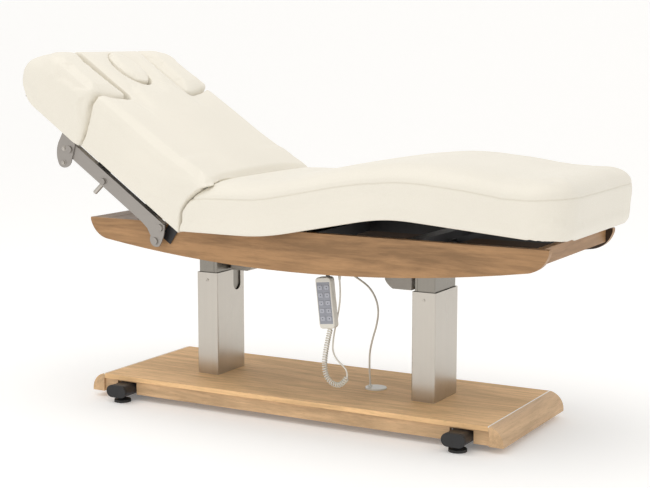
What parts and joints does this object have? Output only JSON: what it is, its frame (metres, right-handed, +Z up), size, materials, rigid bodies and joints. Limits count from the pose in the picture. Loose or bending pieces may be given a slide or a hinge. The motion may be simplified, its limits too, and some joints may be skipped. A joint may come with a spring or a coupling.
{
  "type": "facial treatment bed",
  "caption": "Upholstered treatment bed on a wooden base with two lifting columns, raising back, folding arm pads, bending leg section, face plug and wired handset.",
  "frame": {"origin": "on the floor under the middle of the bed", "axes": "+X towards the foot end, +Y to the side away from the handset, +Z up"},
  "size_m": [2.07, 0.738, 1.2498],
  "materials": {
    "oak": "satin lacquer",
    "bright_strip": "satin",
    "black_steel": "satin powder coat",
    "grey_steel": "satin",
    "black_plastic": "matte",
    "brushed_steel": "brushed",
    "guide_plastic": "matte",
    "pale_plastic": "semi-gloss",
    "motor_grey": "satin",
    "leatherette": "fine grain",
    "keypad_grey": "matte",
    "key_grey": "matte",
    "cord_grey": "satin",
    "satin_rail": "satin",
    "grip_rubber": "matte",
    "foot_rubber": "matte"
  },
  "bodies": {
    "base": {"base_board": "oak", "base_aprons": "oak", "base_end_mouldings": "oak", "inlay_strips": "bright_strip", "base_steelwork": "black_steel", "foot_bars": "grey_steel", "foot_bar_caps": "black_plastic", "column_sleeves": "brushed_steel", "column_guides": "guide_plastic", "lift_spindles": "bright_strip", "cable_grommet": "pale_plastic"},
    "top_frame": {"inner_columns": "brushed_steel", "column_motors": "motor_grey", "side_panel_near": "oak", "side_panel_far": "oak", "head_boards": "oak", "foot_end_board": "oak", "frame_rails": "black_steel", "seat_frame": "black_steel", "linear_drives": "black_steel", "control_box": "black_plastic", "seat_pad": "leatherette", "handset_case": "pale_plastic", "keypad": "keypad_grey", "handset_hanger": "grey_steel", "lead_glands": "cord_grey", "handset_coil": "cord_grey", "handset_lead": "cord_grey", "base_cable": "cord_grey"},
    "back": {"back_frame": "black_steel", "back_pad": "leatherette", "side_rails": "satin_rail"},
    "face_plug": {"face_plug": "leatherette"},
    "back_drive_rod": {"back_drive_rod": "bright_strip"},
    "thigh": {"thigh_frame": "black_steel", "thigh_pad": "leatherette"},
    "thigh_drive_rod": {"thigh_drive_rod": "bright_strip"},
    "leg": {"leg_frame": "black_steel", "leg_pad": "leatherette"},
    "leg_prop": {"leg_prop": "black_steel"},
    "arm_near": {"arm_pad_near": "leatherette", "arm_bracket_near": "satin_rail"},
    "release_lever_near": {"release_lever_near": "grip_rubber"},
    "arm_far": {"arm_pad_far": "leatherette", "arm_bracket_far": "satin_rail"},
    "release_lever_far": {"release_lever_far": "grip_rubber"},
    "levelling_foot_head_near": {"levelling_foot_head_near": "foot_rubber"},
    "levelling_foot_head_far": {"levelling_foot_head_far": "foot_rubber"},
    "levelling_foot_foot_near": {"levelling_foot_foot_near": "foot_rubber"},
    "levelling_foot_foot_far": {"levelling_foot_foot_far": "foot_rubber"},
    "key_back_raise": {"key_back_raise": "key_grey"},
    "key_back_lower": {"key_back_lower": "key_grey"},
    "key_legs_raise": {"key_legs_raise": "key_grey"},
    "key_legs_lower": {"key_legs_lower": "key_grey"},
    "key_bed_raise": {"key_bed_raise": "key_grey"},
    "key_bed_lower": {"key_bed_lower": "key_grey"},
    "key_sit_up": {"key_sit_up": "key_grey"},
    "key_lie_flat": {"key_lie_flat": "key_grey"},
    "key_memory_one": {"key_memory_one": "key_grey"},
    "key_memory_two": {"key_memory_two": "key_grey"}
  },
  "joints": [
    {"name": "lift", "type": "slide", "parent": "base", "child": "top_frame", "axis": [0, 0, 1], "range_m": [-0.045, 0.225], "deforming": ["base_cable"]},
    {"name": "back_raise", "type": "hinge", "parent": "top_frame", "child": "back", "pos_m": [-0.334, 0, 0.65], "axis": [0, 1, 0], "range_deg": [-34.6, 30.4]},
    {"name": "thigh_raise", "type": "hinge", "parent": "top_frame", "child": "thigh", "pos_m": [-0.009, 0, 0.65], "axis": [0, -1, 0], "range_deg": [-11.5, 13.5]},
    {"name": "knee_bend", "type": "hinge", "parent": "thigh", "child": "leg", "pos_m": [0.43981, 0, 0.74131], "axis": [0, -1, 0], "range_deg": [-18.9, 16.1]},
    {"name": "prop_swing", "type": "hinge", "parent": "leg", "child": "leg_prop", "pos_m": [0.80308, 0, 0.71774], "axis": [0, -1, 0], "range_deg": [-23.1, 27.1]},
    {"name": "back_drive", "type": "slide", "parent": "top_frame", "child": "back_drive_rod", "axis": [-1, 0, 0], "range_m": [-0.043, 0.038]},
    {"name": "leg_drive", "type": "slide", "parent": "top_frame", "child": "thigh_drive_rod", "axis": [1, 0, 0], "range_m": [-0.0134, 0.0157]},
    {"name": "plug_lift_out", "type": "slide", "parent": "back", "child": "face_plug", "axis": [0.5678, 0, 0.8231], "range_m": [0, 0.14]},
    {"name": "arm_fold_near", "type": "hinge", "parent": "back", "child": "arm_near", "pos_m": [-0.81335, -0.345, 0.90171], "axis": [0, -1, 0], "range_deg": [0, 90]},
    {"name": "release_near", "type": "hinge", "parent": "back", "child": "release_lever_near", "pos_m": [-0.66941, -0.33, 0.79513], "axis": [0, 1, 0], "range_deg": [-10, 10], "stiffness_Nm_per_rad": 2},
    {"name": "arm_fold_far", "type": "hinge", "parent": "back", "child": "arm_far", "pos_m": [-0.81335, 0.345, 0.90171], "axis": [0, -1, 0], "range_deg": [0, 90]},
    {"name": "release_far", "type": "hinge", "parent": "back", "child": "release_lever_far", "pos_m": [-0.66941, 0.33, 0.79513], "axis": [0, 1, 0], "range_deg": [-10, 10], "stiffness_Nm_per_rad": 2},
    {"name": "level_head_near", "type": "slide", "parent": "base", "child": "levelling_foot_head_near", "axis": [0, 0, -1], "range_m": [0, 0.01]},
    {"name": "level_head_far", "type": "slide", "parent": "base", "child": "levelling_foot_head_far", "axis": [0, 0, -1], "range_m": [0, 0.01]},
    {"name": "level_foot_near", "type": "slide", "parent": "base", "child": "levelling_foot_foot_near", "axis": [0, 0, -1], "range_m": [0, 0.01]},
    {"name": "level_foot_far", "type": "slide", "parent": "base", "child": "levelling_foot_foot_far", "axis": [0, 0, -1], "range_m": [0, 0.01]},
    {"name": "press_back_raise", "type": "slide", "parent": "top_frame", "child": "key_back_raise", "axis": [0, 1, 0], "range_m": [0, 0.001], "stiffness_N_per_m": 500, "springref_m": -0.0005},
    {"name": "press_back_lower", "type": "slide", "parent": "top_frame", "child": "key_back_lower", "axis": [0, 1, 0], "range_m": [0, 0.001], "stiffness_N_per_m": 500, "springref_m": -0.0005},
    {"name": "press_legs_raise", "type": "slide", "parent": "top_frame", "child": "key_legs_raise", "axis": [0, 1, 0], "range_m": [0, 0.001], "stiffness_N_per_m": 500, "springref_m": -0.0005},
    {"name": "press_legs_lower", "type": "slide", "parent": "top_frame", "child": "key_legs_lower", "axis": [0, 1, 0], "range_m": [0, 0.001], "stiffness_N_per_m": 500, "springref_m": -0.0005},
    {"name": "press_bed_raise", "type": "slide", "parent": "top_frame", "child": "key_bed_raise", "axis": [0, 1, 0], "range_m": [0, 0.001], "stiffness_N_per_m": 500, "springref_m": -0.0005},
    {"name": "press_bed_lower", "type": "slide", "parent": "top_frame", "child": "key_bed_lower", "axis": [0, 1, 0], "range_m": [0, 0.001], "stiffness_N_per_m": 500, "springref_m": -0.0005},
    {"name": "press_sit_up", "type": "slide", "parent": "top_frame", "child": "key_sit_up", "axis": [0, 1, 0], "range_m": [0, 0.001], "stiffness_N_per_m": 500, "springref_m": -0.0005},
    {"name": "press_lie_flat", "type": "slide", "parent": "top_frame", "child": "key_lie_flat", "axis": [0, 1, 0], "range_m": [0, 0.001], "stiffness_N_per_m": 500, "springref_m": -0.0005},
    {"name": "press_memory_one", "type": "slide", "parent": "top_frame", "child": "key_memory_one", "axis": [0, 1, 0], "range_m": [0, 0.001], "stiffness_N_per_m": 500, "springref_m": -0.0005},
    {"name": "press_memory_two", "type": "slide", "parent": "top_frame", "child": "key_memory_two", "axis": [0, 1, 0], "range_m": [0, 0.001], "stiffness_N_per_m": 500, "springref_m": -0.0005}
  ],
  "couplings": [
    {"joint": "knee_bend", "follows": "thigh_raise", "ratio": -1.3913},
    {"joint": "prop_swing", "follows": "thigh_raise", "ratio": 2},
    {"joint": "leg_drive", "follows": "thigh_raise", "m_per_rad": 0.066},
    {"joint": "back_drive", "follows": "back_raise", "m_per_rad": 0.0709}
  ]
}
